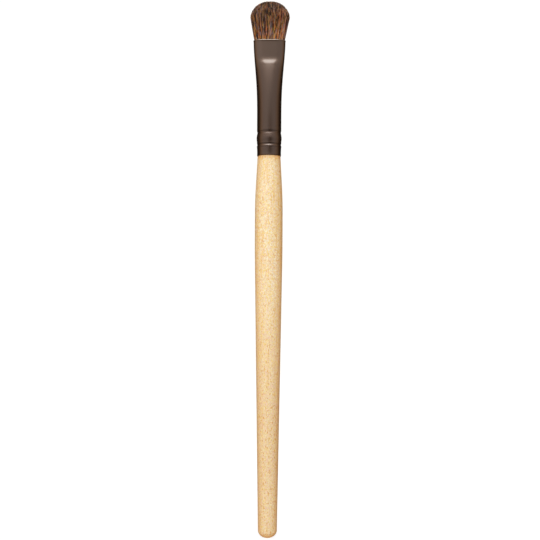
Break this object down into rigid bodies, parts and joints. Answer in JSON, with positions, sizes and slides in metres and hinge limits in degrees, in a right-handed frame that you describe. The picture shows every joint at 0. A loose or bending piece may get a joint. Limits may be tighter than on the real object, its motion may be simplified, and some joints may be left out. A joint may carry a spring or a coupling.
{
  "type": "eyeshadow brush",
  "caption": "Eyeshadow brush: turned wooden handle with a fuller grip, crimped and flattened metal ferrule, and a fanned hair tuft with a rounded crown.",
  "frame": {"origin": "the middle of the cylindrical grip, on the axis of the handle, where the brush is held", "axes": "+Z along the handle towards the hair, +X across the wide side of the flattened mouth and of the tuft, +Y square to its flat faces"},
  "size_m": [0.0124, 0.0086, 0.168],
  "materials": {
    "lacquered_wood": "pale turned hardwood under clear semi-gloss lacquer",
    "brown_metal": "satin brown anodised tube",
    "adhesive": "cured adhesive film",
    "resin": "cured amber resin",
    "thread": "plain cotton thread",
    "hair": "blended brown, red-brown and golden hair"
  },
  "bodies": {
    "root": {"handle": "lacquered_wood", "ferrule": "brown_metal", "tenon_glue": "adhesive", "resin_plug": "resin", "root_binding": "thread", "tuft": "hair"}
  },
  "joints": []
}
